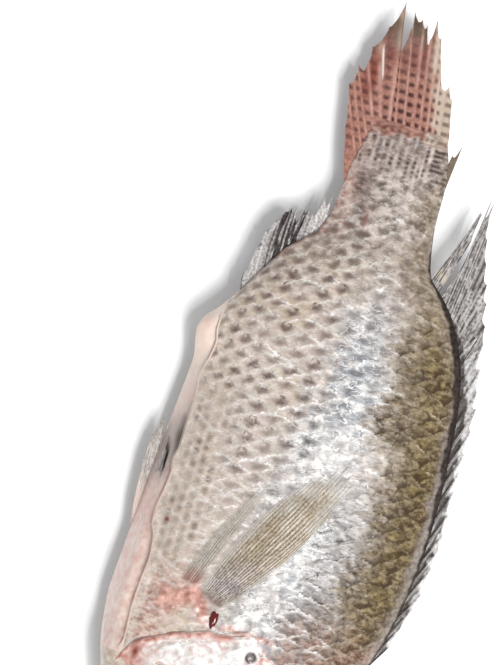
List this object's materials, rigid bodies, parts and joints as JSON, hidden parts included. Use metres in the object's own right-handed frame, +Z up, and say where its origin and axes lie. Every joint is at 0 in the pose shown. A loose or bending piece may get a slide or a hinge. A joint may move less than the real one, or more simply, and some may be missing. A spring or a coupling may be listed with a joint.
{
  "type": "whole raw fish",
  "caption": "Whole raw tilapia lying on its left side, gutted through a slit along the belly, scales on, with folded and slightly torn fins.",
  "frame": {"origin": "on the table, under the middle of the fish's bounding box", "axes": "+X from the tail to the snout, +Y from the belly to the back, +Z up out of the fish's right side, which faces up"},
  "size_m": [0.3068, 0.105, 0.0406],
  "materials": {
    "fish": "wet, silvery grey-brown scaled skin"
  },
  "bodies": {
    "root": {"fish": "fish"}
  },
  "joints": []
}
